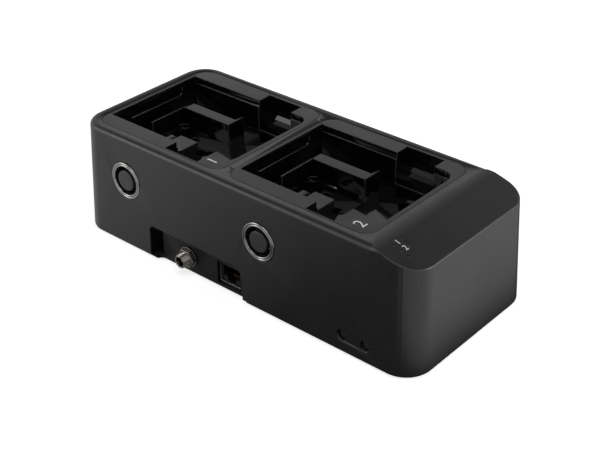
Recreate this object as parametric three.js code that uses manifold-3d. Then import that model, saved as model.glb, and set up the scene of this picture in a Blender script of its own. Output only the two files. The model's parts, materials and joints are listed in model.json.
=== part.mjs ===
// Two-bay networked charging dock for bodypack transmitters, in millimetres, +Z up.
// +X runs along the dock to its sloped end, the jacks and round buttons are on the -Y side.

import * as THREE from 'three';
import { mergeVertices } from 'three/addons/utils/BufferGeometryUtils.js';
import Module from 'manifold-3d';

const wasm = await Module();
wasm.setup();

// ---------------------------------------------------------------- driving dimensions
const GAP = 0.3;                    // clearance between touching pieces

const LENGTH = 230;                 // housing at its top edge
const WIDTH = 97.8;
const HEIGHT = 65.6;
const FLARE = 2.6;                  // how much wider each side is at the bottom
const CORNER_R = 14.5;
const WALL = 2.5;
const TOP_SKIN = 4.5;
const FOOT_H = 1.2;                 // the base plate's height over the table
const TOP = FOOT_H + HEIGHT;
const SLOPE_START = 88.5;           // where the top starts to roll down
const SLOPE_R = 22;
const SLOPE_ANGLE = THREE.MathUtils.degToRad(15.5);

const PLATE_INSET = 0.15;
const PLATE_FLANGE = 0.4;
const PLATE_T = 1.6;
const PLATE_TOP = FOOT_H + PLATE_T;

const BAY_X = [-106.2, -8.4];       // the pocket's -X wall in each bay
const RIM = { x0: -1.5, x1: 91.5, y: 42.8, r: 8, t: 2.5 };
const TUB = { x0: -1.2, x1: 90.2, y: 41.3, r: 7 };
const POCKET = { x1: 88.7, y: 32.7, depth: 19, lip: 3.8, step: 0.8 };
const TROUGH = { x0: 11, x1: 50, y0: -12, y1: 11.5, depth: 21.6 };
const NOTCH = { x0: 51.5, x1: 75.5, y: 41.6, shoulder: 5 };
const FLOOR_T = 2;

const BUTTON = { u: 27.3, z: 41.4, r: 6 };
const RING = { r0: 8.4, r1: 10.85, front: -50.4, back: -49 };
const SLEEVE = { r0: 8.25, r1: 9.9, front: -48.7, back: -42.2, floor: 1.5 };
const BOSS = { r: 13.5, t: 1.8, y1: -13 };
const PIVOT = { y: -20, z: 48, r: 1 };
const LEVER_W = 4;

const RECESS = { x0: -61.6, x1: 7.6, top: FOOT_H + 18.8, back: -48.7, slotX: -53.5, slotBack: -42 };
const JACK = { x: -33.5, z: FOOT_H + 9.3, r: 3.95, front: -56.3, end: -41 };

// Puts the origin under the middle of the whole part, which the jack's barrel makes deeper.
const OFFSET_Y = (-JACK.front - WIDTH / 2 - FLARE) / 2;
const RJ45 = { x0: -12.1, x1: 3.9, z0: FOOT_H + 2.3, z1: FOOT_H + 15.5, front: -46.9, depth: 21 };
const SMALL_BUTTONS = { reset: 74.2, storage: 88.3, z: FOOT_H + 9, r: 2.5, pill: 3.4 };
const BOARD = { z: FOOT_H + 15.8, t: 1.6 };
const LED_ROWS = [[95.4, -32.6], [95.4, -39.7], [99.9, -32.6], [99.9, -39.7], [104, -39.7]];

// ---------------------------------------------------------------- materials
const finish = (color, roughness, metalness = 0) =>
  new THREE.MeshStandardMaterial({ color, roughness, metalness });

const MATERIALS = {
  charcoal: finish(0x2a282a, 0.55),
  gloss: finish(0x0b0b0c, 0.12),
  black: finish(0x101011, 0.5),
  rubber: finish(0x161616, 0.9),
  chrome: finish(0xd8d8d8, 0.12, 1),
  steel: finish(0x9a9a98, 0.35, 1),
  brass: finish(0xc9a45a, 0.3, 1),
  board: finish(0x1d4a2c, 0.6),
  clear: finish(0xc8cccc, 0.2),
};

// ---------------------------------------------------------------- solids
const AXIS_TURN = {
  x: new THREE.Matrix4().makeBasis(
    new THREE.Vector3(0, 1, 0), new THREE.Vector3(0, 0, 1), new THREE.Vector3(1, 0, 0)),
  y: new THREE.Matrix4().makeBasis(
    new THREE.Vector3(1, 0, 0), new THREE.Vector3(0, 0, 1), new THREE.Vector3(0, -1, 0)),
  z: new THREE.Matrix4(),
};

function solid(geometry) {
  const bare = geometry.index ? geometry.toNonIndexed() : geometry.clone();
  bare.deleteAttribute('normal');
  bare.deleteAttribute('uv');
  const merged = mergeVertices(bare, 1e-4);
  return new wasm.Manifold(new wasm.Mesh({
    numProp: 3,
    vertProperties: new Float32Array(merged.attributes.position.array),
    triVerts: new Uint32Array(merged.index.array),
  }));
}

function geometryOf(body) {
  const data = body.getMesh();
  const geometry = new THREE.BufferGeometry();
  geometry.setAttribute('position', new THREE.BufferAttribute(data.vertProperties, 3));
  geometry.setIndex(new THREE.BufferAttribute(data.triVerts, 1));
  geometry.computeVertexNormals();
  return geometry;
}

const join = (...bodies) => bodies.reduce((all, body) => all.add(body));
const cut = (body, ...tools) => tools.reduce((rest, tool) => rest.subtract(tool), body);

// An outline drawn square to `axis` and extruded from `from` to `to` along it.
// Its own two directions are (y, z) for x, (x, z) for y and (x, y) for z.
function prism(axis, shape, from, to, curveSegments = 3) {
  const options = { depth: to - from, bevelEnabled: false, curveSegments };
  const geometry = new THREE.ExtrudeGeometry(shape, options);
  geometry.applyMatrix4(AXIS_TURN[axis]);
  const along = new THREE.Vector3(axis === 'x' ? from : 0, axis === 'y' ? to : 0, axis === 'z' ? from : 0);
  geometry.translate(along.x, along.y, along.z);
  return solid(geometry);
}

function block(x0, x1, y0, y1, z0, z1) {
  const geometry = new THREE.BoxGeometry(x1 - x0, y1 - y0, z1 - z0);
  geometry.translate((x0 + x1) / 2, (y0 + y1) / 2, (z0 + z1) / 2);
  return solid(geometry);
}

// A rectangle with its own radius at each corner: [low-low, high-low, high-high, low-high].
function roundedRect(x0, x1, y0, y1, radii) {
  const [a, b, c, d] = Array.isArray(radii) ? radii : [radii, radii, radii, radii];
  const shape = new THREE.Shape();
  shape.moveTo(x0 + a, y0);
  shape.lineTo(x1 - b, y0);
  if (b) shape.absarc(x1 - b, y0 + b, b, -Math.PI / 2, 0);
  shape.lineTo(x1, y1 - c);
  if (c) shape.absarc(x1 - c, y1 - c, c, 0, Math.PI / 2);
  shape.lineTo(x0 + d, y1);
  if (d) shape.absarc(x0 + d, y1 - d, d, Math.PI / 2, Math.PI);
  shape.lineTo(x0, y0 + a);
  if (a) shape.absarc(x0 + a, y0 + a, a, Math.PI, Math.PI * 1.5);
  return shape;
}

function outline(points) {
  return new THREE.Shape(points.map(([a, b]) => new THREE.Vector2(a, b)));
}

// A turned piece: profile points are [radius, distance along the axis from `at`].
function turned(axis, at, profile, segments = 24) {
  const points = profile.map(([r, h]) => new THREE.Vector2(r, h));
  if (profile[0][0] > 0) points.push(points[0].clone());
  const geometry = new THREE.LatheGeometry(points, segments);
  if (axis === 'z') geometry.rotateX(Math.PI / 2);
  if (axis === 'x') geometry.rotateZ(-Math.PI / 2);
  geometry.translate(at[0], at[1], at[2]);
  return solid(geometry);
}

function rod(axis, at, r, length, segments = 16) {
  return turned(axis, at, [[0, 0], [r, 0], [r, length], [0, length]], segments);
}

function tube(axis, at, r0, r1, length, segments = 24) {
  return turned(axis, at, [[r0, 0], [r1, 0], [r1, length], [r0, length]], segments);
}

// ---------------------------------------------------------------- scene graph
const dock = new THREE.Group();
dock.position.y = OFFSET_Y;

function add(parent, name, body, material) {
  const mesh = new THREE.Mesh(geometryOf(body), MATERIALS[material].clone());
  mesh.name = name;
  parent.add(mesh);
}

// ---------------------------------------------------------------- housing
// The dock's plan outline, inset from the outside and drawn in from bottom to top.
function draftedBlock(inset, z0, z1) {
  const halfX = LENGTH / 2;
  const halfY = WIDTH / 2;
  const shape = roundedRect(-halfX, halfX, -halfY, halfY, CORNER_R);
  const options = { depth: z1 - z0, bevelEnabled: false, curveSegments: 5 };
  const geometry = new THREE.ExtrudeGeometry(shape, options);
  geometry.translate(0, 0, z0);
  const position = geometry.attributes.position;
  for (let i = 0; i < position.count; i += 1) {
    const grow = FLARE * (1 - (position.getZ(i) - FOOT_H) / HEIGHT) - inset;
    position.setX(i, position.getX(i) * (1 + grow / halfX));
    position.setY(i, position.getY(i) * (1 + grow / halfY));
  }
  return solid(geometry);
}

const slopeEnd = {
  x: SLOPE_START + SLOPE_R * Math.sin(SLOPE_ANGLE),
  drop: SLOPE_R * (1 - Math.cos(SLOPE_ANGLE)),
};

// How far the top surface lies under its level part.
function topDrop(x) {
  if (x <= SLOPE_START) return 0;
  if (x >= slopeEnd.x) return slopeEnd.drop + (x - slopeEnd.x) * Math.tan(SLOPE_ANGLE);
  return SLOPE_R - Math.sqrt(SLOPE_R ** 2 - (x - SLOPE_START) ** 2);
}

// Everything under the top surface, lowered by `lower`.
function underTop(lower) {
  const far = LENGTH / 2 + 10;
  const level = TOP - lower;
  const shape = new THREE.Shape();
  shape.moveTo(-far, -10);
  shape.lineTo(far, -10);
  shape.lineTo(far, level - topDrop(far));
  shape.lineTo(slopeEnd.x, level - slopeEnd.drop);
  shape.absarc(SLOPE_START, level - SLOPE_R, SLOPE_R, Math.PI / 2 - SLOPE_ANGLE, Math.PI / 2);
  shape.lineTo(-far, level);
  return prism('y', shape, -WIDTH, WIDTH);
}

// The recess for the jacks: wide and shallow, with a deeper slot at its -X end.
function recessCut(grow) {
  const shallow = roundedRect(RECESS.x0 - grow, RECESS.x1 + grow, -10, RECESS.top + grow, [0, 0, 7, 3]);
  const slot = roundedRect(RECESS.x0 - grow, RECESS.slotX + grow, -10, RECESS.top + grow, [0, 0, 1, 3]);
  return join(
    prism('y', shallow, -60, RECESS.back + grow),
    prism('y', slot, -60, RECESS.slotBack + grow));
}

const CASE_SCREWS = [[-112, -33], [-112, 33], [112, -33], [112, 33], [30, -46.5], [30, 46.5]];
const CASE_BOSS = { r: 3.6, top: 26, hole: 1.6, holeTop: 12 };

function topHousing() {
  const bottom = FOOT_H + PLATE_FLANGE + GAP;
  const outer = draftedBlock(0, bottom, TOP).intersect(underTop(0));
  const inner = draftedBlock(WALL, -5, TOP).intersect(underTop(TOP_SKIN));
  const bosses = CASE_SCREWS.map(([x, y]) =>
    rod('z', [x, y, PLATE_TOP + GAP], CASE_BOSS.r, CASE_BOSS.top - PLATE_TOP, 10));
  const recessShell = recessCut(WALL).intersect(block(-80, 20, -60, -30, bottom, 40));
  const shell = join(cut(outer, inner), join(...bosses, recessShell).intersect(outer));
  const openings = BAY_X.flatMap((x) => [
    prism('z', roundedRect(x + RIM.x0 - GAP, x + RIM.x1 + GAP, -RIM.y - GAP, RIM.y + GAP, RIM.r + GAP),
      TOP - RIM.t - GAP, TOP + 1),
    prism('z', roundedRect(x + TUB.x0 - GAP, x + TUB.x1 + GAP, -TUB.y - GAP, TUB.y + GAP, TUB.r + GAP),
      TOP - 20, TOP + 1),
    block(x + NOTCH.x0 - 1.8, x + NOTCH.x1 + 1.8, -RIM.y, RIM.y, TOP - 20, TOP + 1),
    rod('y', [x + BUTTON.u, -60, BUTTON.z], SLEEVE.r1 + GAP, 20, 28),
    rod('y', [x + BUTTON.u, -60, BUTTON.z], RING.r1 + GAP, RING.back + GAP + 60, 36),
  ]);
    const { reset, storage, z: buttonZ, pill } = SMALL_BUTTONS;
  const pillOutline = roundedRect(reset - pill, storage + pill, buttonZ - pill, buttonZ + pill, pill);
  const pillCut = prism('y', pillOutline, -60, -50.6);
  const smallHoles = [reset, storage].map((x) => rod('y', [x, -60, buttonZ], SMALL_BUTTONS.r + 0.4, 15, 20));
  const pinholes = LED_ROWS.map(([x, y]) => rod('z', [x, y, TOP - 12], 0.65, 20, 8));
  const screwHoles = CASE_SCREWS.map(([x, y]) =>
    rod('z', [x, y, 0], CASE_BOSS.hole, CASE_BOSS.holeTop, 10));
  const jackHole = rod('y', [JACK.x, -60, JACK.z], JACK.r + GAP, 30, 24);
  const networkHole = block(RJ45.x0 - GAP, RJ45.x1 + GAP, -60, -40, RJ45.z0 - GAP, RJ45.z1 + GAP);
  return cut(shell, recessCut(0), ...openings, ...smallHoles, pillCut, ...pinholes, ...screwHoles,
    jackHole, networkHole);
}

// ---------------------------------------------------------------- base plate
const FEET = [[-98, -34], [98, -34], [98, 34], [-98, 34]];
const FOOT_R = 8;
const POSTS = [[-46, -38], [60, -38], [60, 34], [-46, 34]];
const POST = { r: 3, hole: 1.1 };

function basePlate() {
  const flange = draftedBlock(PLATE_INSET, FOOT_H, FOOT_H + PLATE_FLANGE);
  const raised = draftedBlock(WALL + GAP, FOOT_H, PLATE_TOP);
  const postFoot = FOOT_H + 0.5;
  const posts = POSTS.map(([x, y]) => rod('z', [x, y, postFoot], POST.r, BOARD.z - GAP - postFoot, 10));
  const front = roundedRect(-56, RECESS.x1 + 2.7, -60, RECESS.back, [0, 0, 0, 3.5]);
  const feet = FEET.map(([x, y]) => rod('z', [x, y, 0], FOOT_R + GAP, FOOT_H + 0.5, 20));
  const screws = CASE_SCREWS.map(([x, y]) => rod('z', [x, y, 0], 1.7, 10, 10));
  const postHoles = POSTS.map(([x, y]) => rod('z', [x, y, BOARD.z - 8], POST.hole + 0.2, 10, 8));
  const behindRecess = cut(
    block(RECESS.x0 - WALL - GAP, RECESS.x1 + WALL + GAP, -60, RECESS.slotBack + WALL + GAP,
      FOOT_H + PLATE_FLANGE, 10),
    block(RECESS.x0 + GAP, RECESS.slotX - GAP, -60, RECESS.slotBack - GAP, 0, 20),
    block(RECESS.slotX + WALL + GAP, RECESS.x1 + 20, RECESS.back + WALL + GAP, 0, 0, 20));
  return cut(join(flange, raised, ...posts), prism('z', front, 0, 20), behindRecess,
    ...feet, ...screws, ...postHoles);
}

// ---------------------------------------------------------------- bay insert
// Coordinates inside a bay: u along X from the pocket's -X wall, y and z as the dock's.

// The part of a finger notch under its straight shoulder is a scoop of this radius.
const SCOOP_R = POCKET.depth - NOTCH.shoulder;

function fingerNotch(side) {
  const outer = side * NOTCH.y;
  const inner = side * (NOTCH.y - SCOOP_R);
  const [y0, y1] = [Math.min(outer, inner), Math.max(outer, inner)];
  const upper = block(NOTCH.x0, NOTCH.x1, y0, y1, TOP - NOTCH.shoulder, TOP + 1);
  const scoop = rod('x', [NOTCH.x0, inner, TOP - NOTCH.shoulder], SCOOP_R, NOTCH.x1 - NOTCH.x0, 32);
  return join(upper, scoop);
}

// The block beside the near strip: a shelf, a drop, and a slope down into the trough.
function nearBlock() {
  const shelf = TOP - 10.6;
  const shape = new THREE.Shape();
  shape.moveTo(-POCKET.y - 0.5, TOP - 20);
  shape.lineTo(-POCKET.y - 0.5, TOP - 2.6);
  shape.lineTo(-POCKET.y + POCKET.step, TOP - 2.6);
  shape.quadraticCurveTo(-POCKET.y + 2, shelf, -POCKET.y + 9, shelf);
  shape.lineTo(-12, shelf);
  shape.lineTo(-12, TOP - 14.8);
  shape.lineTo(-4, TOP - 20);
  return prism('x', shape, 33, 46);
}

function buttonBoss(radius, yBack, yFront) {
  return rod('y', [BUTTON.u, yBack, BUTTON.z], radius, yFront - yBack, 32);
}

function bayInsert() {
  const tubBottom = TOP - POCKET.depth - FLOOR_T;
  const rim = prism('z', roundedRect(RIM.x0, RIM.x1, -RIM.y, RIM.y, RIM.r), TOP - RIM.t, TOP);
  const tub = prism('z', roundedRect(TUB.x0, TUB.x1, -TUB.y, TUB.y, TUB.r), tubBottom, TOP - 1);
  const notchWalls = block(NOTCH.x0 - 1.5, NOTCH.x1 + 1.5, -RIM.y + GAP, RIM.y - GAP, tubBottom, TOP - 1);
  const troughBox = block(TROUGH.x0 - 1.5, TROUGH.x1 + 1.5, TROUGH.y0 - 1.5, TROUGH.y1 + 1.5,
    TOP - TROUGH.depth - FLOOR_T, TOP - POCKET.depth);
  const upper = prism('z', roundedRect(0, POCKET.x1, -POCKET.y, POCKET.y, [1, 7, 7, 1]),
    TOP - POCKET.lip, TOP + 1);
  const lower = prism('z', roundedRect(0, POCKET.x1, -POCKET.y + POCKET.step, POCKET.y - POCKET.step,
    [1, 7, 7, 1]), TOP - POCKET.depth, TOP + 1);
  const trough = prism('z', roundedRect(TROUGH.x0, TROUGH.x1, TROUGH.y0, TROUGH.y1, 4),
    TOP - TROUGH.depth, TOP + 1);
  const wallPanel = prism('x', roundedRect(-20, 22, TOP - 8, TOP - 1.2, 2), -0.6, 1);
  const hollow = cut(join(rim, tub, notchWalls, troughBox), upper, lower, trough,
    fingerNotch(-1), fingerNotch(1), wallPanel);

  const fenceTop = TOP - 8.7;
  const fenceFoot = TOP - POCKET.depth - 1;
  const ledge = 7.2;
  const fence = join(
    block(TROUGH.x0, 47, TROUGH.y1, TROUGH.y1 + ledge, fenceFoot, fenceTop),
    block(45.5, 47, TROUGH.y1, 24, fenceFoot, fenceTop),
    block(TROUGH.x0 - 1.4, TROUGH.x0, -13, TROUGH.y1 + 1.5, fenceFoot, fenceTop - 0.5));
  const boss = buttonBoss(BOSS.r, -POCKET.y - 1, BOSS.y1).intersect(
    block(0, POCKET.x1, -60, 0, tubBottom, TOP));
  const raised = join(hollow, fence, nearBlock(), boss);

  const bossHollow = buttonBoss(BOSS.r - BOSS.t, -60, BOSS.y1 - BOSS.t);
  const stripHollows = [-1, 1].map((side) =>
    block(2, NOTCH.x0 - 3, side > 0 ? 34.4 : -39.8, side > 0 ? 39.8 : -34.4, 0, TOP - RIM.t));
  const pinBore = rod('x', [BUTTON.u - 11.1, PIVOT.y, PIVOT.z], PIVOT.r + 0.2, 22.2, 16);
  const slotHalf = LEVER_W / 2 + GAP;
  const leverSlot = block(BUTTON.u - slotHalf, BUTTON.u + slotHalf, -1.8, 5.6, 0, TOP - 19.5);
  const contactHoles = CONTACT.y.map((y) => rod('x', [POCKET.x1 - 1, y, CONTACT.z], CONTACT.r + GAP, 5, 8));
  return cut(raised, bossHollow, ...stripHollows, pinBore, leverSlot, ...contactHoles);
}

// ---------------------------------------------------------------- contacts
const CONTACT = { y: [-4, 0, 4], z: TOP - 14, r: 0.8, tip: POCKET.x1 - 0.8, length: 5.6 };

function contactBlock() {
  const x0 = TUB.x1 + GAP;
  const body = block(x0, x0 + 5, -6.5, 6.5, CONTACT.z - 3, CONTACT.z + 3);
  return cut(body, ...CONTACT.y.map((y) => rod('x', [x0 - 1, y, CONTACT.z], CONTACT.r + 0.25, 5.2, 8)));
}

function contactPin(y) {
  const { r, tip, length, z } = CONTACT;
  return turned('x', [tip, y, z], [[0, 0], [r * 0.5, 0], [r, r * 0.6], [r, length], [0, length]], 8);
}

// ---------------------------------------------------------------- eject button and lever
function ejectRing() {
  const { r0, r1, front, back } = RING;
  const depth = back - front;
  const middle = (r0 + r1) / 2;
  return turned('y', [BUTTON.u, front, BUTTON.z], [
    [r0, depth], [r0, 0.45], [r0 + 0.35, 0.1], [middle - 0.3, 0.05], [middle, 0.35], [middle + 0.3, 0.05],
    [r1 - 0.4, 0.1], [r1, 0.5], [r1, depth],
  ], 36);
}

function buttonSleeve() {
  const { r0, r1, front, back, floor } = SLEEVE;
  const depth = back - front;
  return turned('y', [BUTTON.u, front, BUTTON.z], [
    [r0, 0], [r1, 0], [r1, depth], [STEM.r + GAP, depth], [STEM.r + GAP, depth - floor], [r0, depth - floor],
  ], 24);
}

const STEM = { r: 3.9, slimFrom: -41, slimR: 2.5, tipFrom: -26.5, tipR: 1.2, end: -24.8 };
const HEAD = { front: -50.2, t: 2.5 };
const CLIP = { y: -41.7, t: 0.6, r: 5 };

function ejectButton() {
  const length = (y) => y - HEAD.front;
  return turned('y', [BUTTON.u, HEAD.front, BUTTON.z], [
    [0, 0], [BUTTON.r - 0.4, 0], [BUTTON.r, 0.4], [BUTTON.r, HEAD.t], [STEM.r, HEAD.t],
    [STEM.r, length(CLIP.y)], [STEM.slimR, length(CLIP.y)], [STEM.slimR, length(STEM.tipFrom)],
    [STEM.tipR, length(STEM.tipFrom)], [STEM.tipR, length(STEM.end)], [0, length(STEM.end)],
  ], 20);
}

function buttonClip() {
  return tube('y', [BUTTON.u, CLIP.y + GAP, BUTTON.z], STEM.slimR + GAP, CLIP.r, CLIP.t, 24);
}

// A coil spring along Y, between the sleeve's floor and the button's head.
function ejectSpring() {
  const wire = 0.25;
  const radius = 5.1;
  const start = HEAD.front + HEAD.t + GAP + wire;
  const length = SLEEVE.back - SLEEVE.floor - GAP - wire - start;
  const turns = 2.5;
  const steps = 8;
  const points = Array.from({ length: turns * steps + 1 }, (_, i) => {
    const angle = (i / steps) * Math.PI * 2;
    return new THREE.Vector3(
      BUTTON.u + radius * Math.cos(angle),
      start + (length * i) / (turns * steps),
      BUTTON.z + radius * Math.sin(angle));
  });
  const section = new THREE.Shape();
  section.absarc(0, 0, wire, 0, Math.PI * 2);
  const options = { steps: turns * steps, extrudePath: new THREE.CatmullRomCurve3(points), curveSegments: 3 };
  return solid(new THREE.ExtrudeGeometry(section, options));
}

function ejectLever() {
  const side = outline([
    [-24.3, 38], [-21.6, 38], [-21.6, 43.3], [-18, 41.6], [-13.6, 36.6], [-0.4, 32.4], [2.4, 32.4],
    [2.4, 44.6], [-0.4, 44.6], [-0.4, 35.2], [-13.6, 38.9], [-16, 41.6], [-17.2, 46.6], [-18, 50.2],
    [-21, 50.9], [-23.4, 49.4], [-24.3, 46],
  ]);
  const body = prism('x', side, BUTTON.u - LEVER_W / 2, BUTTON.u + LEVER_W / 2);
  return cut(body, rod('x', [BUTTON.u - 5, PIVOT.y, PIVOT.z], PIVOT.r + 0.15, 10, 24));
}

const leverPin = () => rod('x', [BUTTON.u - 10.8, PIVOT.y, PIVOT.z], PIVOT.r, 21.6, 24);

function addBay(number) {
  const bay = new THREE.Group();
  bay.position.x = BAY_X[number - 1];
  dock.add(bay);
  add(bay, `bay_insert_${number}`, bayInsert(), 'gloss');
  add(bay, `contact_block_${number}`, contactBlock(), 'black');
  CONTACT.y.forEach((y, i) => add(bay, `contact_pin_${number}_${'abc'[i]}`, contactPin(y), 'brass'));
  add(bay, `eject_ring_${number}`, ejectRing(), 'chrome');
  add(bay, `button_sleeve_${number}`, buttonSleeve(), 'black');
  add(bay, `eject_button_${number}`, ejectButton(), 'charcoal');
  add(bay, `button_clip_${number}`, buttonClip(), 'steel');
  add(bay, `eject_spring_${number}`, ejectSpring(), 'steel');
  add(bay, `eject_lever_${number}`, ejectLever(), 'black');
  add(bay, `lever_pin_${number}`, leverPin(), 'steel');
}

// ---------------------------------------------------------------- jacks
function jackBarrel() {
  const pitch = 1;
  const threads = 5;
  const length = JACK.end - JACK.front;
  const crests = Array.from({ length: threads }, (_, i) => [
    [JACK.r, 0.6 + i * pitch],
    [JACK.r - 0.35, 0.6 + (i + 0.5) * pitch],
  ]).flat();
  return turned('y', [JACK.x, JACK.front, JACK.z], [
    [2.9, 11], [2.9, 0.3], [3.2, 0], [JACK.r - 0.5, 0], ...crests, [JACK.r, 0.6 + threads * pitch],
    [JACK.r, length], [1.4, length], [1.4, 11],
  ], 20);
}

function jackNut() {
  const flat = 10;
  const points = Array.from({ length: 6 }, (_, i) => {
    const angle = (i * Math.PI) / 3;
    const corner = flat / 2 / Math.cos(Math.PI / 6);
    return [JACK.x + corner * Math.cos(angle), JACK.z + corner * Math.sin(angle)];
  });
  const front = RECESS.back - GAP - 0.8 - GAP - 2;
  const hexagon = prism('y', outline(points), front, front + 2);
  return cut(hexagon, rod('y', [JACK.x, -60, JACK.z], JACK.r + GAP, 20, 24));
}

const jackWasher = () =>
  tube('y', [JACK.x, RECESS.back - GAP - 0.8, JACK.z], JACK.r + GAP, 6, 0.8, 32);

function jackBody() {
  const front = RECESS.back + WALL + GAP;
  const body = block(JACK.x - 5.5, JACK.x + 5.5, front, front + 13, JACK.z - 5.5, JACK.z + 5.5);
  const barrelSeat = rod('y', [JACK.x, -60, JACK.z], JACK.r + GAP, 60 + JACK.end + GAP, 24);
  return cut(body, barrelSeat, rod('y', [JACK.x, -60, JACK.z], 1.3, 60 - 38, 12));
}

const jackPin = () =>
  turned('y', [JACK.x, JACK.front + 2, JACK.z], [[0, 0], [0.6, 0], [1, 0.5], [1, 14.4], [0, 14.4]], 12);

function rj45Shell() {
  const { x0, x1, z0, z1, front, depth } = RJ45;
  const back = front + depth;
  const sheet = 0.5;
  const outer = block(x0, x1, front, back, z0, z1);
  const inner = block(x0 + sheet, x1 - sheet, front - 1, back - sheet, z0 + sheet, z1 - sheet);
  return cut(outer, inner);
}

// The socket's plastic: a cavity with the latch's narrower channel under it.
function rj45Insert() {
  const { x0, x1, z0, z1, front, depth } = RJ45;
  const clear = 0.5 + GAP;
  const middle = (x0 + x1) / 2;
  const body = block(x0 + clear, x1 - clear, front + 0.4, front + depth - clear, z0 + clear, z1 - clear);
  const socket = block(middle - 5.9, middle + 5.9, front - 1, front + 13, z0 + 4.3, z1 - 2.4);
  const latch = block(middle - 3.2, middle + 3.2, front - 1, front + 11, z0 + 2, z0 + 5);
  const keyway = block(middle - 2, middle + 2, front - 1, front + 11, z0 + 1.4, z0 + 3);
  return cut(body, socket, latch, keyway);
}

function addJacks() {
  add(dock, 'dc_jack_barrel', jackBarrel(), 'chrome');
  add(dock, 'dc_jack_nut', jackNut(), 'chrome');
  add(dock, 'dc_jack_washer', jackWasher(), 'chrome');
  add(dock, 'dc_jack_body', jackBody(), 'black');
  add(dock, 'dc_jack_pin', jackPin(), 'brass');
  add(dock, 'rj45_shell', rj45Shell(), 'chrome');
  add(dock, 'rj45_insert', rj45Insert(), 'black');
}

// ---------------------------------------------------------------- small buttons
const SMALL = { front: -49.3, flange: -48.2, end: -44.6, switchFront: -43.7, switchBack: -40.3 };

function smallButton(x) {
  const length = (y) => y - SMALL.front;
  const { r, z } = SMALL_BUTTONS;
  return turned('y', [x, SMALL.front, z], [
    [0, 0], [r - 0.3, 0], [r, 0.3], [r, length(SMALL.flange)], [r + 1, length(SMALL.flange)],
    [r + 1, length(SMALL.flange) + 1], [1.5, length(SMALL.flange) + 1], [1.5, length(SMALL.end)],
    [0, length(SMALL.end)],
  ], 14);
}

function addSmallButtons() {
  const { z } = SMALL_BUTTONS;
  for (const name of ['reset', 'storage']) {
    const x = SMALL_BUTTONS[name];
    const tact = join(
      block(x - 3, x + 3, SMALL.switchFront + 0.4, SMALL.switchBack, z - 3, z + 3),
      rod('y', [x, SMALL.switchFront, z], 1.6, 1, 16));
    add(dock, `${name}_button`, smallButton(x), 'black');
    add(dock, `${name}_switch`, tact, 'black');
  }
  const front = SMALL.switchBack + GAP;
  const board = block(67, 95, front, front + BOARD.t, PLATE_TOP + GAP, BOARD.z - GAP);
  add(dock, 'button_board', board, 'board');
}

// ---------------------------------------------------------------- boards and light pipe
const LIGHT = { x0: 92, x1: 106, y0: -42, y1: -29, z: TOP - 12 };

function lightPipe() {
  const base = block(LIGHT.x0, LIGHT.x1, LIGHT.y0, LIGHT.y1, LIGHT.z, LIGHT.z + 2);
  const pins = LED_ROWS.map(([x, y]) => {
    const end = TOP - topDrop(x) - 0.25;
    return rod('z', [x, y, LIGHT.z + 1], 0.45, end - LIGHT.z - 1, 8);
  });
  return join(base, ...pins);
}

function addBoards() {
  const top = BOARD.z + BOARD.t;
  const main = block(-50, 72, -42.2, 38, BOARD.z, top);
  add(dock, 'main_board', cut(main, ...POSTS.map(([x, y]) => rod('z', [x, y, 0], 1.5, 40, 10))), 'board');
  POSTS.forEach(([x, y], i) => {
    const screw = join(
      rod('z', [x, y, top + GAP], 2.6, 1.6, 10),
      rod('z', [x, y, BOARD.z - 6], POST.hole, top + GAP + 0.4 - BOARD.z + 6, 8));
    add(dock, `board_screw_${i + 1}`, screw, 'steel');
  });
  const { x0, x1, y0, y1, z } = LIGHT;
  const ledBoard = block(x0 - 2, x1 + 1, y0 - 1, y1 + 3, z - GAP - BOARD.t, z - GAP);
  add(dock, 'led_board', ledBoard, 'board');
  add(dock, 'light_pipe', lightPipe(), 'clear');
}

// ---------------------------------------------------------------- underside
function addUnderside() {
  add(dock, 'base_plate', basePlate(), 'black');
  add(dock, 'ballast_plate', block(-108, -70, -26, 26, PLATE_TOP + GAP, PLATE_TOP + GAP + 8), 'steel');
  FEET.forEach(([x, y], i) => {
    add(dock, `rubber_foot_${i + 1}`, rod('z', [x, y, 0], FOOT_R, FOOT_H + 0.5 - GAP, 20), 'rubber');
  });
  CASE_SCREWS.forEach(([x, y], i) => {
    const screw = join(
      rod('z', [x, y, 0.15], 2.8, 0.75, 16),
      rod('z', [x, y, 0.5], 1.35, CASE_BOSS.holeTop - 1, 8));
    add(dock, `case_screw_${i + 1}`, screw, 'steel');
  });
}

add(dock, 'top_housing', topHousing(), 'charcoal');
addBay(1);
addBay(2);
addJacks();
addSmallButtons();
addBoards();
addUnderside();

export default dock;
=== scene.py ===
"""Looks for the two-bay charging dock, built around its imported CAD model.

The long side with the jacks and round eject buttons faces -Y, the sloped end +X, in metres.
Every visible CAD node gets a copy with rounded edges; small fittings get detailed pieces.
"""

import json
import math

import bmesh
import bpy
from mathutils import Matrix, Vector


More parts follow.
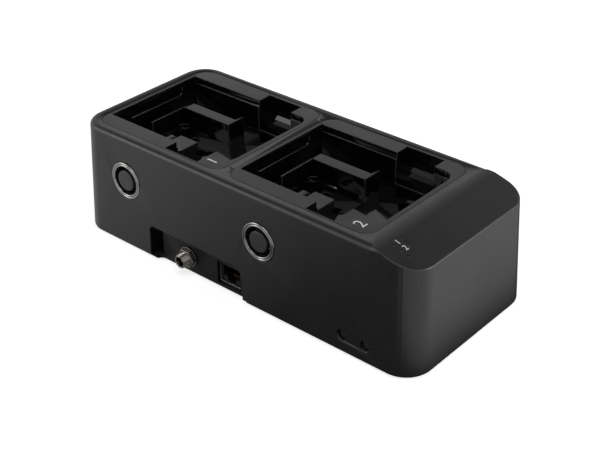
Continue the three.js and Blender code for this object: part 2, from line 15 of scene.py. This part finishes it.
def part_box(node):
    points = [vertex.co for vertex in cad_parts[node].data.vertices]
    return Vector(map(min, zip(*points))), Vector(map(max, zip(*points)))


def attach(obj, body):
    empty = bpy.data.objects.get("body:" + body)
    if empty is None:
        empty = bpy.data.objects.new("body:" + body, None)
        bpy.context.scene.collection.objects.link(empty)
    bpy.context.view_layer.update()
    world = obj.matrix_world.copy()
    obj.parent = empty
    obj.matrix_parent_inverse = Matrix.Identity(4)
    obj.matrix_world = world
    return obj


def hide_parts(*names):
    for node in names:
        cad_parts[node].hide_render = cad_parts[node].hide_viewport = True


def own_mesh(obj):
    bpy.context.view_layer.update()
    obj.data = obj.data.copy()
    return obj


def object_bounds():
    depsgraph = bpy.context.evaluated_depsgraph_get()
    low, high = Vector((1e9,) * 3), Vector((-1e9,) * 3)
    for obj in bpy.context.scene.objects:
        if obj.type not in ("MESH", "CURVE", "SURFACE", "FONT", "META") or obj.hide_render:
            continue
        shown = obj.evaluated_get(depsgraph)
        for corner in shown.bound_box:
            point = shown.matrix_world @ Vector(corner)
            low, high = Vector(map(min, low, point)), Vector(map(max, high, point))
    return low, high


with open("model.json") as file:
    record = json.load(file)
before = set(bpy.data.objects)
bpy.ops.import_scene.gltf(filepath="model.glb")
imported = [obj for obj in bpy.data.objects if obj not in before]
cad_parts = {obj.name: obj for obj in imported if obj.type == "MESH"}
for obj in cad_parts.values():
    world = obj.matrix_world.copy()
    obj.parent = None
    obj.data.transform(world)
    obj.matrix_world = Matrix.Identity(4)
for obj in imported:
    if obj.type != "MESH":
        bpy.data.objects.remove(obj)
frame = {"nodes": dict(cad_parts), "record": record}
CAD_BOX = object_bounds()

MM = 0.001
BAYS = (1, 2)


# ---------------------------------------------------------------- camera
CAMERA = {"azimuth": 40.824, "elevation": 31.493, "roll": -0.491, "distance": 0.6892,
          "aim": (0.00522, 0.01653), "lens": 73.41}


def turned_axes(azimuth, elevation, roll):
    """The camera's right, up and back directions."""
    a, e, r = (math.radians(v) for v in (azimuth, elevation, roll))
    back = Vector((math.sin(a) * math.cos(e), -math.cos(a) * math.cos(e), math.sin(e)))
    right = Vector((math.cos(a), math.sin(a), 0))
    up = back.cross(right)
    return right * math.cos(r) + up * math.sin(r), up * math.cos(r) - right * math.sin(r), back


def make_camera():
    right, up, back = turned_axes(CAMERA["azimuth"], CAMERA["elevation"], CAMERA["roll"])
    floor_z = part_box("base_plate")[0].z
    centre_y = (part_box("top_housing")[0].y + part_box("top_housing")[1].y) / 2
    across, above = CAMERA["aim"]
    place = back * CAMERA["distance"] + right * across + up * above + Vector((0, centre_y, floor_z))
    data = bpy.data.cameras.new("camera")
    data.lens = CAMERA["lens"]
    data.sensor_width = 36
    data.clip_start = 0.01
    data.clip_end = 50
    camera = bpy.data.objects.new("camera", data)
    axes = Matrix((right, up, back)).transposed()
    camera.matrix_world = Matrix.Translation(place) @ axes.to_4x4()
    bpy.context.scene.collection.objects.link(camera)
    bpy.context.scene.camera = camera


make_camera()


# ---------------------------------------------------------------- node helpers
class Nodes:
    """A small writer of shader trees."""

    def __init__(self, tree):
        self.tree = tree
        tree.nodes.clear()

    def add(self, kind, inputs=None, **settings):
        node = self.tree.nodes.new(kind)
        for name, value in settings.items():
            setattr(node, name, value)
        for name, value in (inputs or {}).items():
            self.put(node.inputs[name], value)
        return node

    def put(self, socket, value):
        if isinstance(value, bpy.types.NodeSocket):
            self.tree.links.new(value, socket)
        else:
            socket.default_value = value

    def math(self, operation, a, b=0.0, clamp=False):
        node = self.add("ShaderNodeMath", operation=operation, use_clamp=clamp)
        self.put(node.inputs[0], a)
        self.put(node.inputs[1], b)
        return node.outputs[0]

    def mix(self, factor, a, b):
        node = self.add("ShaderNodeMix", data_type="RGBA")
        self.put(node.inputs["Factor"], factor)
        self.put(node.inputs[6], a)
        self.put(node.inputs[7], b)
        return node.outputs[2]

    def noise(self, vector, scale, detail=3.0, roughness=0.5):
        values = {"Vector": vector, "Scale": scale, "Detail": detail, "Roughness": roughness}
        return self.add("ShaderNodeTexNoise", values).outputs["Fac"]

    def spread(self, value, low, high, to_low=0.0, to_high=1.0):
        values = {"Value": value, "From Min": low, "From Max": high, "To Min": to_low, "To Max": to_high}
        return self.add("ShaderNodeMapRange", values).outputs[0]


def grey(level, tint=(1.0, 1.0, 1.0)):
    """A colour with alpha: a tint scaled to a level."""
    return tuple(level * t for t in tint) + (1.0,)


# ---------------------------------------------------------------- stage
def make_floor():
    mesh = bpy.data.meshes.new("floor")
    half = 6.0
    corners = [(-half, -half, 0), (half, -half, 0), (half, half, 0), (-half, half, 0)]
    mesh.from_pydata(corners, [], [(0, 1, 2, 3)])
    floor = bpy.data.objects.new("floor", mesh)
    floor.location.z = CAD_BOX[0].z
    bpy.context.scene.collection.objects.link(floor)
    material = bpy.data.materials.new("floor")
    material.use_nodes = True
    n = Nodes(material.node_tree)
    path = n.add("ShaderNodeLightPath")
    seen = path.outputs["Is Camera Ray"]
    paper = n.add("ShaderNodeBsdfDiffuse", {"Color": grey(0.8)})
    lift = n.add("ShaderNodeEmission", {"Color": grey(1.0), "Strength": n.math("MULTIPLY", seen, 0.62)})
    both = n.add("ShaderNodeAddShader")
    n.put(both.inputs[0], paper.outputs[0])
    n.put(both.inputs[1], lift.outputs[0])
    across = n.add("ShaderNodeTexCoord").outputs["Object"]
    x = n.add("ShaderNodeSeparateXYZ", {"Vector": across}).outputs["X"]
    fall = n.spread(x, -0.15, 0.03, 0.75, 0.06)
    rise = n.spread(x, 0.118, 0.145, 0.0, 0.9)
    card = n.add("ShaderNodeEmission", {"Color": grey(1.0), "Strength": n.math("ADD", fall, rise)})
    pick = n.add("ShaderNodeMixShader", {"Fac": path.outputs["Is Glossy Ray"]})
    n.put(pick.inputs[1], both.outputs[0])
    n.put(pick.inputs[2], card.outputs[0])
    n.add("ShaderNodeOutputMaterial", {"Surface": pick.outputs[0]})
    mesh.materials.append(material)


def make_world():
    """A white sweep round the horizon under a darker ceiling."""
    world = bpy.data.worlds.new("studio")
    bpy.context.scene.world = world
    world.use_nodes = True
    n = Nodes(world.node_tree)
    direction = n.add("ShaderNodeTexCoord").outputs["Generated"]
    height = n.add("ShaderNodeSeparateXYZ", {"Vector": direction}).outputs["Z"]
    sweep = n.spread(height, 0.56, 0.68, 1.0, 0.06)
    path = n.add("ShaderNodeLightPath")
    seen = n.math("MAXIMUM", path.outputs["Is Camera Ray"], path.outputs["Is Transmission Ray"])
    level = n.math("MAXIMUM", n.math("MULTIPLY", sweep, 0.8), seen)
    back = n.add("ShaderNodeBackground", {"Color": grey(1.0), "Strength": level})
    n.add("ShaderNodeOutputWorld", {"Surface": back.outputs[0]})


def area_light(name, place, aim, size, power):
    data = bpy.data.lights.new(name, "AREA")
    data.shape = "RECTANGLE"
    data.size, data.size_y = size
    data.energy = power
    light = bpy.data.objects.new(name, data)
    light.location = place
    light.rotation_euler = (Vector(aim) - Vector(place)).to_track_quat("-Z", "Y").to_euler()
    bpy.context.scene.collection.objects.link(light)


make_floor()
make_world()
area_light("key_light", (0.35, -0.5, 1.3), (0, 0, 0), (0.9, 0.9), 5)
area_light("side_light", (-0.75, -0.65, 0.35), (-0.05, -0.05, 0.03), (0.5, 0.5), 2.5)
area_light("end_light", (0.9, 0.45, 0.35), (0.1, 0, 0.03), (0.5, 0.5), 5)


# ---------------------------------------------------------------- materials
def new_material(name):
    material = bpy.data.materials.new(name)
    material.use_nodes = True
    return material, Nodes(material.node_tree)


def moulded(name, colour, rough, grain=0.0, grain_size=0.35, specular=0.5, edge_wear_and_highlight=0.0, coat=0.0, mottle=0.12):
    """Moulded plastic: slow colour mottle, fine spark-eroded grain, fine dust, and paler bands on the
    rounded edges: a little wear on most parts, and on the gloss liner a painted highlight.
    """
    material, n = new_material(name)
    place = n.add("ShaderNodeTexCoord").outputs["Object"]
    slow = n.noise(place, 45.0, 4.0)
    fine = n.noise(place, 1.0 / (grain_size * MM), 2.0, 0.6)
    specks = n.spread(n.noise(place, 900.0, 2.0), 0.70, 0.76)
    edge = n.add("ShaderNodeAttribute", attribute_name="edge").outputs["Fac"]
    shade = n.mix(slow, grey(1.0 - mottle, colour), grey(1.0 + mottle, colour))
    shade = n.mix(n.math("MULTIPLY", fine, 0.35), shade, grey(1.25, colour))
    shade = n.mix(n.math("MULTIPLY", specks, 0.06), shade, grey(0.35))
    # Paler rounded-edge bands: light wear on most parts; at the gloss liner's strength they are painted
    # highlights along its edges.
    shade = n.mix(n.math("MULTIPLY", edge, edge_wear_and_highlight), shade, grey(0.16, (1.0, 0.98, 0.97)))
    low = n.spread(slow, 0.3, 0.7, rough * 0.9, rough * 1.1)
    roughness = n.math("ADD", low, n.math("MULTIPLY", specks, 0.15), clamp=True)
    height = n.math("ADD", n.math("MULTIPLY", fine, 1.0), n.math("MULTIPLY", slow, 0.6))
    bump = n.add("ShaderNodeBump", {"Height": height, "Strength": grain, "Distance": 0.05 * MM})
    values = {"Base Color": shade, "Roughness": roughness, "Specular IOR Level": specular,
              "Normal": bump.outputs[0], "Coat Weight": coat, "Coat Roughness": 0.06}
    shader = n.add("ShaderNodeBsdfPrincipled", values)
    n.add("ShaderNodeOutputMaterial", {"Surface": shader.outputs[0]})
    return material


def polished(name, colour, rough, streak=0.0, streak_axis=(1.0, 1.0, 1.0), stain=0.15):
    """Bare or plated metal with faint stains and turning marks."""
    material, n = new_material(name)
    place = n.add("ShaderNodeTexCoord").outputs["Object"]
    slow = n.noise(place, 220.0, 3.0)
    stretched = n.add("ShaderNodeMapping", {"Vector": place, "Scale": streak_axis}).outputs[0]
    marks = n.noise(stretched, 2500.0, 2.0)
    shade = n.mix(n.spread(slow, 0.35, 0.75), grey(1.0, colour), grey(1.0 - stain, colour))
    roughness = n.math("ADD", n.spread(slow, 0.3, 0.7, rough * 0.8, rough * 1.3),
                       n.math("MULTIPLY", marks, streak), clamp=True)
    bump = n.add("ShaderNodeBump", {"Height": marks, "Strength": 0.12, "Distance": 0.01 * MM})
    values = {"Base Color": shade, "Metallic": 1.0, "Roughness": roughness, "Normal": bump.outputs[0]}
    shader = n.add("ShaderNodeBsdfPrincipled", values)
    n.add("ShaderNodeOutputMaterial", {"Surface": shader.outputs[0]})
    return material


def lens_material():
    material, n = new_material("light_pipe_clear")
    place = n.add("ShaderNodeTexCoord").outputs["Object"]
    cloudy = n.noise(place, 1500.0, 2.0)
    shade = n.mix(cloudy, grey(0.10), grey(0.22))
    roughness = n.spread(cloudy, 0.3, 0.7, 0.12, 0.3)
    values = {"Base Color": shade, "Roughness": roughness, "Specular IOR Level": 0.5}
    shader = n.add("ShaderNodeBsdfPrincipled", values)
    n.add("ShaderNodeOutputMaterial", {"Surface": shader.outputs[0]})
    return material


def board_material():
    material, n = new_material("board_green")
    place = n.add("ShaderNodeTexCoord").outputs["Object"]
    cells = n.add("ShaderNodeTexVoronoi", {"Vector": place, "Scale": 420.0}, feature="DISTANCE_TO_EDGE")
    tracks = n.spread(cells.outputs["Distance"], 0.04, 0.07)
    shade = n.mix(tracks, (0.03, 0.16, 0.06, 1.0), (0.012, 0.075, 0.03, 1.0))
    bump = n.add("ShaderNodeBump", {"Height": tracks, "Strength": 0.4, "Distance": 0.03 * MM})
    values = {"Base Color": shade, "Roughness": 0.35, "Normal": bump.outputs[0]}
    shader = n.add("ShaderNodeBsdfPrincipled", values)
    n.add("ShaderNodeOutputMaterial", {"Surface": shader.outputs[0]})
    return material


CHARCOAL = (0.0082, 0.0064, 0.0082)
BLACK = (0.0016, 0.0015, 0.0018)

MATERIALS = {
    "housing": moulded("housing_charcoal", CHARCOAL, 0.40, grain=0.5, edge_wear_and_highlight=0.04),
    # The gloss liner's strong pale edge bands are painted highlights: colour that stands for specular lines
    # along its rounded edges.
    "insert": moulded("insert_gloss_black", BLACK, 0.06, grain=0.03, grain_size=1.5, specular=0.3,
                      edge_wear_and_highlight=0.22, mottle=0.05),
    # Darker colour for the long side's recess is painted shade where the recess lies in shadow; it is the
    # same plastic as the housing.
    "recess": moulded("recess_painted_shade", (0.004, 0.0037, 0.0041), 0.45, grain=0.4, specular=0.22),
    "rim": moulded("insert_satin_rim", CHARCOAL, 0.36, grain=0.4, edge_wear_and_highlight=0.03),
    "base": moulded("base_black", (0.003, 0.003, 0.003), 0.65, grain=0.5, specular=0.2),
    "button": moulded("button_satin", (0.016, 0.0155, 0.017), 0.38, grain=0.25, edge_wear_and_highlight=0.05),
    "black_parts": moulded("black_fittings", (0.004, 0.004, 0.0044), 0.3, grain=0.2, specular=0.4),
    "feet": moulded("foot_rubber", (0.012, 0.012, 0.012), 0.85, grain=1.0, specular=0.25),
    "ring": polished("ring_chrome", (0.34, 0.33, 0.32), 0.16, streak=0.05),
    "jack_metal": polished("jack_nickel", (0.28, 0.26, 0.24), 0.2, streak=0.08),
    "shield": polished("shield_tin", (0.42, 0.41, 0.39), 0.3, streak=0.1, streak_axis=(0.05, 1.0, 1.0)),
    "steel": polished("zinc_steel", (0.5, 0.5, 0.49), 0.35, streak=0.1),
    "contacts": polished("gold_plate", (0.83, 0.62, 0.28), 0.2),
    "circuit_board": board_material(),
    "light_pipe": lens_material(),
    "print": moulded("printed_white", (0.62, 0.62, 0.60), 0.5, grain=0.2, mottle=0.04),
}


# ---------------------------------------------------------------- mesh helpers
NODE_SLOT = {part["node"]: part["material_slot"] for part in frame["record"]["subparts"]}
NODE_BODY = {node: body for body, nodes in frame["record"]["behaviour"]["bodies"].items() for node in nodes}
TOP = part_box("bay_insert_1")[1].z
MID_Y = (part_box("top_housing")[0].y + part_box("top_housing")[1].y) / 2


def finish_mesh(bm, name, materials, body, smooth_angle=32.0):
    """Turns a bmesh into a piece with smooth faces, clean flats and its body."""
    mesh = bpy.data.meshes.new(name)
    bm.normal_update()
    bm.to_mesh(mesh)
    bm.free()
    for material in materials:
        mesh.materials.append(material)
    mesh.shade_smooth()
    mesh.set_sharp_from_angle(angle=math.radians(smooth_angle))
    piece = bpy.data.objects.new(name, mesh)
    bpy.context.scene.collection.objects.link(piece)
    weighted = piece.modifiers.new("flats", "WEIGHTED_NORMAL")
    weighted.keep_sharp = True
    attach(piece, body)
    return piece


def cad_copy(node):
    """A CAD node's mesh with its shared corners merged."""
    bm = bmesh.new()
    bm.from_mesh(frame["nodes"][node].data)
    bmesh.ops.remove_doubles(bm, verts=bm.verts, dist=2e-6)
    bmesh.ops.dissolve_limit(bm, angle_limit=math.radians(0.3), verts=bm.verts, edges=bm.edges)
    bmesh.ops.triangulate(bm, faces=bm.faces)
    bm.normal_update()
    return bm


SHARP_ANGLE = math.radians(28)
BAND_SLOT = 7


def round_edges(bm, rule, widest, segments):
    """Rounds each sharp edge by rule(edge, middle), a width in mm or 0, and marks the new bands, which the
    plastics paint paler: as wear, and on the gloss liner as painted highlights.
    """
    weight = bm.edges.layers.float.new("bevel_weight_edge")
    for edge in bm.edges:
        if edge.is_manifold and edge.calc_face_angle(0.0) > SHARP_ANGLE:
            middle = (edge.verts[0].co + edge.verts[1].co) / 2
            edge[weight] = min(1.0, rule(edge, middle) / widest)
    mesh = bpy.data.meshes.new("rounding")
    for _ in range(BAND_SLOT + 1):
        mesh.materials.append(None)
    bm.to_mesh(mesh)
    bm.free()
    rig = bpy.data.objects.new("rounding", mesh)
    bpy.context.scene.collection.objects.link(rig)
    bevel = rig.modifiers.new("round", "BEVEL")
    bevel.limit_method = "WEIGHT"
    bevel.width = widest * MM
    bevel.segments = segments
    bevel.use_clamp_overlap = False
    bevel.loop_slide = False
    bevel.material = BAND_SLOT
    shaped = rig.evaluated_get(bpy.context.evaluated_depsgraph_get())
    out = bmesh.new()
    out.from_mesh(shaped.to_mesh())
    shaped.to_mesh_clear()
    bpy.data.objects.remove(rig)
    bpy.data.meshes.remove(mesh)
    # Marked bands get paler colour in the plastics: light wear, and on the gloss liner painted highlights.
    wear_and_highlight_band = out.faces.layers.float.new("edge")
    for face in out.faces:
        if face.material_index == BAND_SLOT:
            face.material_index = 0
            face[wear_and_highlight_band] = 1.0
    out.edges.layers.float.remove(out.edges.layers.float["bevel_weight_edge"])
    out.normal_update()
    return out


def refine(node, width, segments=2):
    """The usual stand-in for a CAD node: the same shape with small rounded edges."""
    bm = round_edges(cad_copy(node), lambda edge, _: width if edge.is_convex else 0, width, segments)
    slot = NODE_SLOT[node]
    piece = finish_mesh(bm, node + "_finished", [MATERIALS[slot]], NODE_BODY[node])
    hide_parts(node)


def turned_piece(name, centre, profile, node, material, segments=96, smooth_angle=32.0):
    """A ring or knob turned about a line along Y. The profile is (radius, y) from its centre, in mm."""
    bm = bmesh.new()
    rows = []
    for radius, along in profile:
        if radius <= 1e-6:
            rows.append([bm.verts.new((centre[0], centre[1] + along * MM, centre[2]))])
            continue
        turn = []
        for i in range(segments):
            angle = 2 * math.pi * i / segments
            turn.append(bm.verts.new((centre[0] + radius * MM * math.cos(angle), centre[1] + along * MM,
                                      centre[2] + radius * MM * math.sin(angle))))
        rows.append(turn)
    closed = profile[0][0] > 1e-6
    pairs = zip(rows, rows[1:] + rows[:1]) if closed else zip(rows, rows[1:])
    for a, b in pairs:
        for i in range(segments):
            j = (i + 1) % segments
            corners = [a[i % len(a)], a[j % len(a)], b[j % len(b)], b[i % len(b)]]
            unique = list(dict.fromkeys(corners))
            if len(unique) > 2:
                bm.faces.new(unique)
    bmesh.ops.recalc_face_normals(bm, faces=bm.faces)
    piece = finish_mesh(bm, name, [material], NODE_BODY[node], smooth_angle)
    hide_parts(node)


# ---------------------------------------------------------------- housing
TOP_ROUND = 2.6
SLOPE_ROUND = 0.8
RECESS_EDGE = {"x": (-62.5, 8.5), "z": 20.8}


def housing_round(edge, middle):
    """How far each of the housing's sharp edges is rounded, in mm."""
    if not edge.is_convex:
        return 0
    normals = [face.normal for face in edge.link_faces]
    flattest = max(n.z for n in normals)
    steepest = min(abs(n.z) for n in normals)
    outer = abs(middle.y - MID_Y) > 44.5 * MM or abs(middle.x) > 108.6 * MM
    if outer and flattest > 0.8 and steepest < 0.3 and middle.z > 40 * MM:
        along = (middle.x / MM - 84) / 9
        return TOP_ROUND + (SLOPE_ROUND - TOP_ROUND) * min(1.0, max(0.0, along))
    on_wall = min(n.y for n in normals) < -0.9 and middle.y < MID_Y - 49.0 * MM
    across = RECESS_EDGE["x"][0] * MM < middle.x < RECESS_EDGE["x"][1] * MM
    if on_wall and across and middle.z < RECESS_EDGE["z"] * MM:
        return 0.5
    return 0


def add_housing():
    bm = round_edges(cad_copy("top_housing"), housing_round, TOP_ROUND, 5)
    # Faces inside the long-side recess get the darker recess material: painted shade, not a different
    # plastic.
    for face in bm.faces:
        centre = face.calc_center_median()
        behind = centre.y > MID_Y - 50.2 * MM
        across = RECESS_EDGE["x"][0] * MM < centre.x < RECESS_EDGE["x"][1] * MM
        low = centre.z < RECESS_EDGE["z"] * MM
        if behind and low and across and centre.y < MID_Y:
            face.material_index = 1
    piece = finish_mesh(bm, "housing", [MATERIALS["housing"], MATERIALS["recess"]], "dock")
    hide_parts("top_housing")


# ---------------------------------------------------------------- bays
RIM_DEPTH = 0.5


def add_bay_insert(number):
    node = f"bay_insert_{number}"
    low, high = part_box(node)

    def insert_round(edge, middle):
        if middle.z > TOP - 0.05 * MM:
            return 0.3 if edge.is_convex else 0
        inside = abs(middle.y - MID_Y) < 41.9 * MM and abs(middle.x - (low.x + high.x) / 2) < 45.2 * MM
        in_view = inside and middle.z > TOP - 22 * MM and edge.calc_length() > 0.8 * MM
        return 0.3 if in_view and edge.is_convex else 0

    bm = round_edges(cad_copy(node), insert_round, 0.3, 3)
    for face in bm.faces:
        centre = face.calc_center_median()
        on_rim = centre.z > TOP - RIM_DEPTH * MM
        on_step = abs(centre.y - MID_Y) > 32.9 * MM and centre.z > TOP - 8 * MM and face.normal.z > 0.7
        face.material_index = 1 if on_rim and face.normal.z > 0.3 or on_step else 0
    materials = [MATERIALS["insert"], MATERIALS["rim"]]
    piece = finish_mesh(bm, f"bay_liner_{number}", materials, "dock")
    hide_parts(node)


def add_eject_ring(number):
    low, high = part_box(f"eject_ring_{number}")
    centre = ((low.x + high.x) / 2, low.y, (low.z + high.z) / 2)
    outer = (high.x - low.x) / 2 / MM
    inner = 8.45
    bead = (outer - inner) / 2
    depth = (high.y - low.y) / MM
    profile = [(outer, depth)]
    for k in range(2):
        centre_r = outer - bead * (k + 0.5)
        for step in range(0, 9):
            angle = math.pi * step / 8
            profile.append((centre_r + bead * 0.5 * math.cos(angle), 0.52 - 0.5 * math.sin(angle)))
    profile.append((inner, depth))
    turned_piece(f"eject_ring_{number}_beads", centre, profile, f"eject_ring_{number}", MATERIALS["ring"],
                 smooth_angle=50.0)


def add_eject_button(number):
    node = f"eject_button_{number}"
    low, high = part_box(node)
    centre = ((low.x + high.x) / 2, low.y, (low.z + high.z) / 2)
    radius = (high.x - low.x) / 2 / MM
    length = (high.y - low.y) / MM
    profile = [(0, 0.0), (radius * 0.8, 0.0), (radius - 0.6, 0.03)]
    for step in range(1, 7):
        angle = math.pi / 2 * step / 6
        profile.append((radius - 0.6 + 0.6 * math.sin(angle), 0.63 - 0.6 * math.cos(angle)))
    profile += [(radius, 2.5), (3.9, 2.5), (3.9, 8.5), (2.5, 8.5), (2.5, length - 1.7), (1.1, length - 1.7),
                (1.1, length - 0.15), (0, length - 0.15)]
    turned_piece(f"eject_button_{number}_cap", centre, profile, node, MATERIALS["button"])


def add_spring(number):
    """The button's return spring, which on the real dock shortens as the button goes in; here it is a fixed
    piece on a mesh of its own.
    """
    node = f"eject_spring_{number}"
    bm = bmesh.new()
    bm.from_mesh(frame["nodes"][node].data)
    bmesh.ops.remove_doubles(bm, verts=bm.verts, dist=2e-6)
    slot = NODE_SLOT[node]
    name = f"eject_spring_{number}_coil"
    piece = finish_mesh(bm, name, [MATERIALS[slot]], "dock", smooth_angle=60.0)
    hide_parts(node)
    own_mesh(piece)


# ---------------------------------------------------------------- numerals
SLOPE = math.radians(15.5)


def numeral(name, text, place, height, tilt=0.0):
    """A thin printed figure, read from the sloped end, lying on the surface at place."""
    curve = bpy.data.curves.new(name, "FONT")
    curve.body = text
    curve.align_x = "CENTER"
    curve.align_y = "CENTER"
    curve.size = height / 0.70 * MM
    curve.extrude = 0.008 * MM
    curve.resolution_u = 8
    figure = bpy.data.objects.new(name, curve)
    figure.matrix_world = (Matrix.Translation(place) @ Matrix.Rotation(tilt, 4, "Y")
                           @ Matrix.Rotation(math.pi / 2, 4, "Z"))
    bpy.context.scene.collection.objects.link(figure)
    curve.materials.append(MATERIALS["print"])
    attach(figure, "dock")


def add_numerals():
    for number in BAYS:
        low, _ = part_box(f"bay_insert_{number}")
        numeral(f"bay_numeral_{number}", str(number),
                (low.x + 83.0 * MM, MID_Y - 36.0 * MM, TOP + 0.012 * MM), 6.8)
    for number, x in zip(BAYS, (95.4, 99.9)):
        fall = 0.0008 + (x - 94.38) * MM * math.tan(SLOPE)
        numeral(f"light_numeral_{number}", str(number),
                (x * MM, MID_Y - 36.15 * MM, TOP - fall + 0.02 * MM), 3.3, tilt=SLOPE)


# ---------------------------------------------------------------- jacks
def add_power_jack():
    low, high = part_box("dc_jack_barrel")
    centre = ((low.x + high.x) / 2, low.y, (low.z + high.z) / 2)
    radius = (high.x - low.x) / 2 / MM
    length = (high.y - low.y) / MM
    pitch = 0.75
    profile = [(2.75, 11.0), (2.75, 0.35), (2.95, 0.08), (3.15, 0.0),
               (radius - 0.55, 0.0), (radius - 0.4, 0.12)]
    turns = 10
    for k in range(turns):
        profile += [(radius - 0.35, 0.3 + k * pitch), (radius, 0.3 + (k + 0.5) * pitch)]
    profile += [(radius - 0.35, 0.3 + turns * pitch), (radius - 0.35, length), (1.4, length), (1.4, 11.0)]
    turned_piece("power_jack_barrel", centre, profile, "dc_jack_barrel", MATERIALS["jack_metal"], 72, 24.0)
    refine("dc_jack_nut", width=0.35, segments=3)
    refine("dc_jack_washer", width=0.18, segments=2)


def box_faces(bm, low, high):
    """Adds a box between two corners and returns its vertices."""
    made = bmesh.ops.create_cube(bm, size=1.0)["verts"]
    size = [high[i] - low[i] for i in range(3)]
    middle = [(high[i] + low[i]) / 2 for i in range(3)]
    for vert in made:
        vert.co = Vector((middle[i] + vert.co[i] * size[i] for i in range(3)))
    return made


def add_network_jack():
    refine("rj45_shell", width=0.14, segments=2)
    refine("rj45_insert", width=0.12, segments=2)
    low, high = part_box("rj45_insert")
    bm = bmesh.new()
    count = 8
    pitch = 1.02 * MM
    middle = (low.x + high.x) / 2
    for i in range(count):
        x = middle + (i - (count - 1) / 2) * pitch
        made = box_faces(bm, (x - 0.18 * MM, low.y + 2.5 * MM, low.z + 3.9 * MM),
                         (x + 0.18 * MM, low.y + 12.0 * MM, low.z + 4.2 * MM))
        for vert in made:
            vert.co.z += (vert.co.y - low.y - 2.5 * MM) * 0.22
    finish_mesh(bm, "network_jack_contacts", [MATERIALS["contacts"]], "dock")


# ---------------------------------------------------------------- everything else
REFINED = {"reset_button": 0.25, "storage_button": 0.25, "base_plate": 0.15, "light_pipe": 0.08}
for foot in range(1, 5):
    REFINED[f"rubber_foot_{foot}"] = 0.35
for side in BAYS:
    REFINED[f"button_sleeve_{side}"] = 0.2
    REFINED[f"eject_lever_{side}"] = 0.2
    REFINED[f"contact_block_{side}"] = 0.15


def add_rest():
    for node, width in REFINED.items():
        refine(node, width=width)
    for node, piece in frame["nodes"].items():
        if not piece.hide_render:
            piece.data.materials.clear()
            piece.data.materials.append(MATERIALS[NODE_SLOT[node]])


add_housing()
for bay in BAYS:
    add_bay_insert(bay)
    add_eject_ring(bay)
    add_eject_button(bay)
    add_spring(bay)
add_numerals()
add_power_jack()
add_network_jack()
add_rest()


# ---------------------------------------------------------------- finish
scene = bpy.context.scene
scene.view_settings.view_transform = "Standard"
